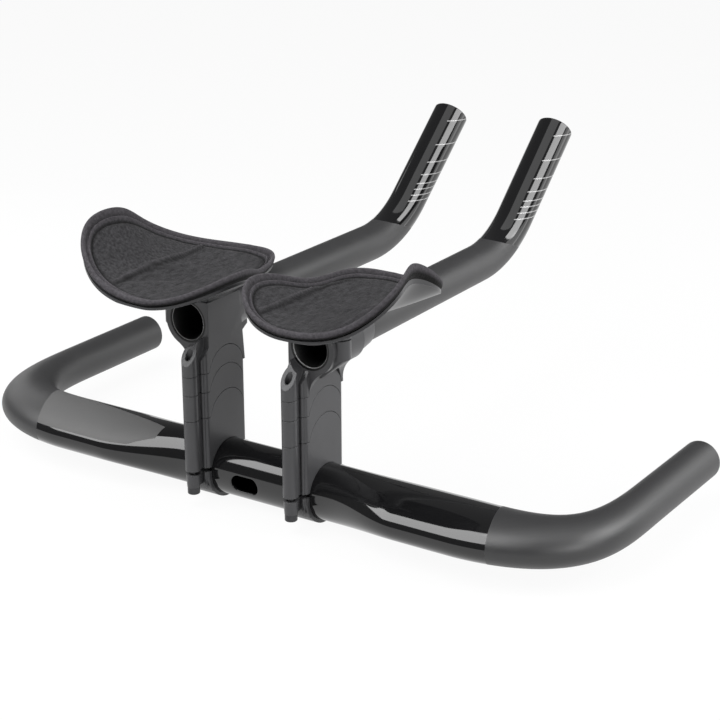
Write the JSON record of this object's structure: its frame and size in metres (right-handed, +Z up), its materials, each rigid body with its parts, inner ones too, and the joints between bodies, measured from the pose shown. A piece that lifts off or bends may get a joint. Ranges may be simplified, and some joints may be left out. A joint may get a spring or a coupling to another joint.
{
  "type": "time trial handlebar",
  "caption": "Time trial handlebar: wing-shaped base bar with forward horns, bent-up extensions on bolted riser stacks, and padded arm rests.",
  "frame": {"origin": "centre of the round clamp zone of the base bar, on its axis", "axes": "+X to the rider's right along the bar, +Y forward, +Z up"},
  "size_m": [0.4202, 0.314, 0.1763],
  "materials": {
    "bar_finish": "gloss black in the middle, matte dark grey on the bends and horns",
    "tube_finish": "matte dark grey with gloss black tips",
    "riser_metal": "satin dark grey",
    "screw_steel": "blackened",
    "cup_plastic": "satin grey",
    "pad_fabric": "felted dark grey"
  },
  "bodies": {
    "root": {"base_bar": "bar_finish", "extension_left": "tube_finish", "extension_right": "tube_finish", "riser_head_left": "riser_metal", "riser_head_right": "riser_metal", "spacer_short_left": "riser_metal", "spacer_short_right": "riser_metal", "spacer_medium_left": "riser_metal", "spacer_medium_right": "riser_metal", "base_saddle_left": "riser_metal", "base_saddle_right": "riser_metal", "lower_clamp_left": "riser_metal", "lower_clamp_right": "riser_metal", "rear_bolt_left": "screw_steel", "rear_bolt_right": "screw_steel", "front_bolt_left": "screw_steel", "front_bolt_right": "screw_steel", "stack_bolt_left": "screw_steel", "stack_bolt_right": "screw_steel", "pinch_bolt_left": "screw_steel", "pinch_bolt_right": "screw_steel", "cup_screws_left": "screw_steel", "cup_screws_right": "screw_steel", "arm_cup_left": "cup_plastic", "arm_cup_right": "cup_plastic", "arm_pad_left": "pad_fabric", "arm_pad_right": "pad_fabric"}
  },
  "joints": []
}
